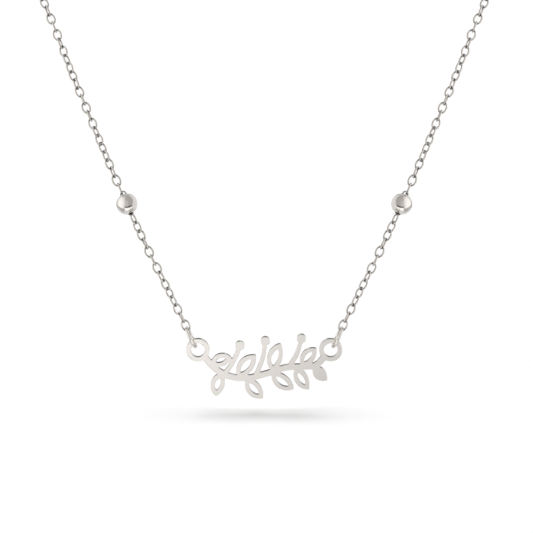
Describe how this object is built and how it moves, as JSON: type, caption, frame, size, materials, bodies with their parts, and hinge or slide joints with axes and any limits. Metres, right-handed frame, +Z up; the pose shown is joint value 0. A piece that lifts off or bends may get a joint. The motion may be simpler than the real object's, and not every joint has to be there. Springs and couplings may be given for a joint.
{
  "type": "nameplate necklace",
  "caption": "Silver necklace: a cut-out sprig plate hung by jump rings from a fine cable chain with a round bead on each side.",
  "frame": {"origin": "middle of the clasp, where the necklace rests on the nape of the neck", "axes": "+Z up, -Y towards the front where the plate hangs, +X across to the viewer's right"},
  "size_m": [0.1092, 0.1009, 0.1414],
  "materials": {
    "plate_silver": "polished",
    "bead_silver": "mirror polished",
    "chain_silver": "polished"
  },
  "bodies": {
    "necklace": {"jump_ring_left": "chain_silver", "jump_ring_right": "chain_silver", "chain_lower_left": "chain_silver", "chain_lower_right": "chain_silver", "bead_left": "bead_silver", "bead_right": "bead_silver", "chain_upper_left": "chain_silver", "chain_upper_right": "chain_silver", "chain_back_left": "chain_silver", "chain_back_right": "chain_silver", "clasp": "chain_silver"},
    "plate": {"nameplate": "plate_silver"}
  },
  "joints": [
    {"name": "nameplate_swing", "type": "hinge", "parent": "necklace", "child": "plate", "pos_m": [0, -0.098, -0.132], "axis": [1, 0, 0], "range_deg": [-60, 60]}
  ]
}
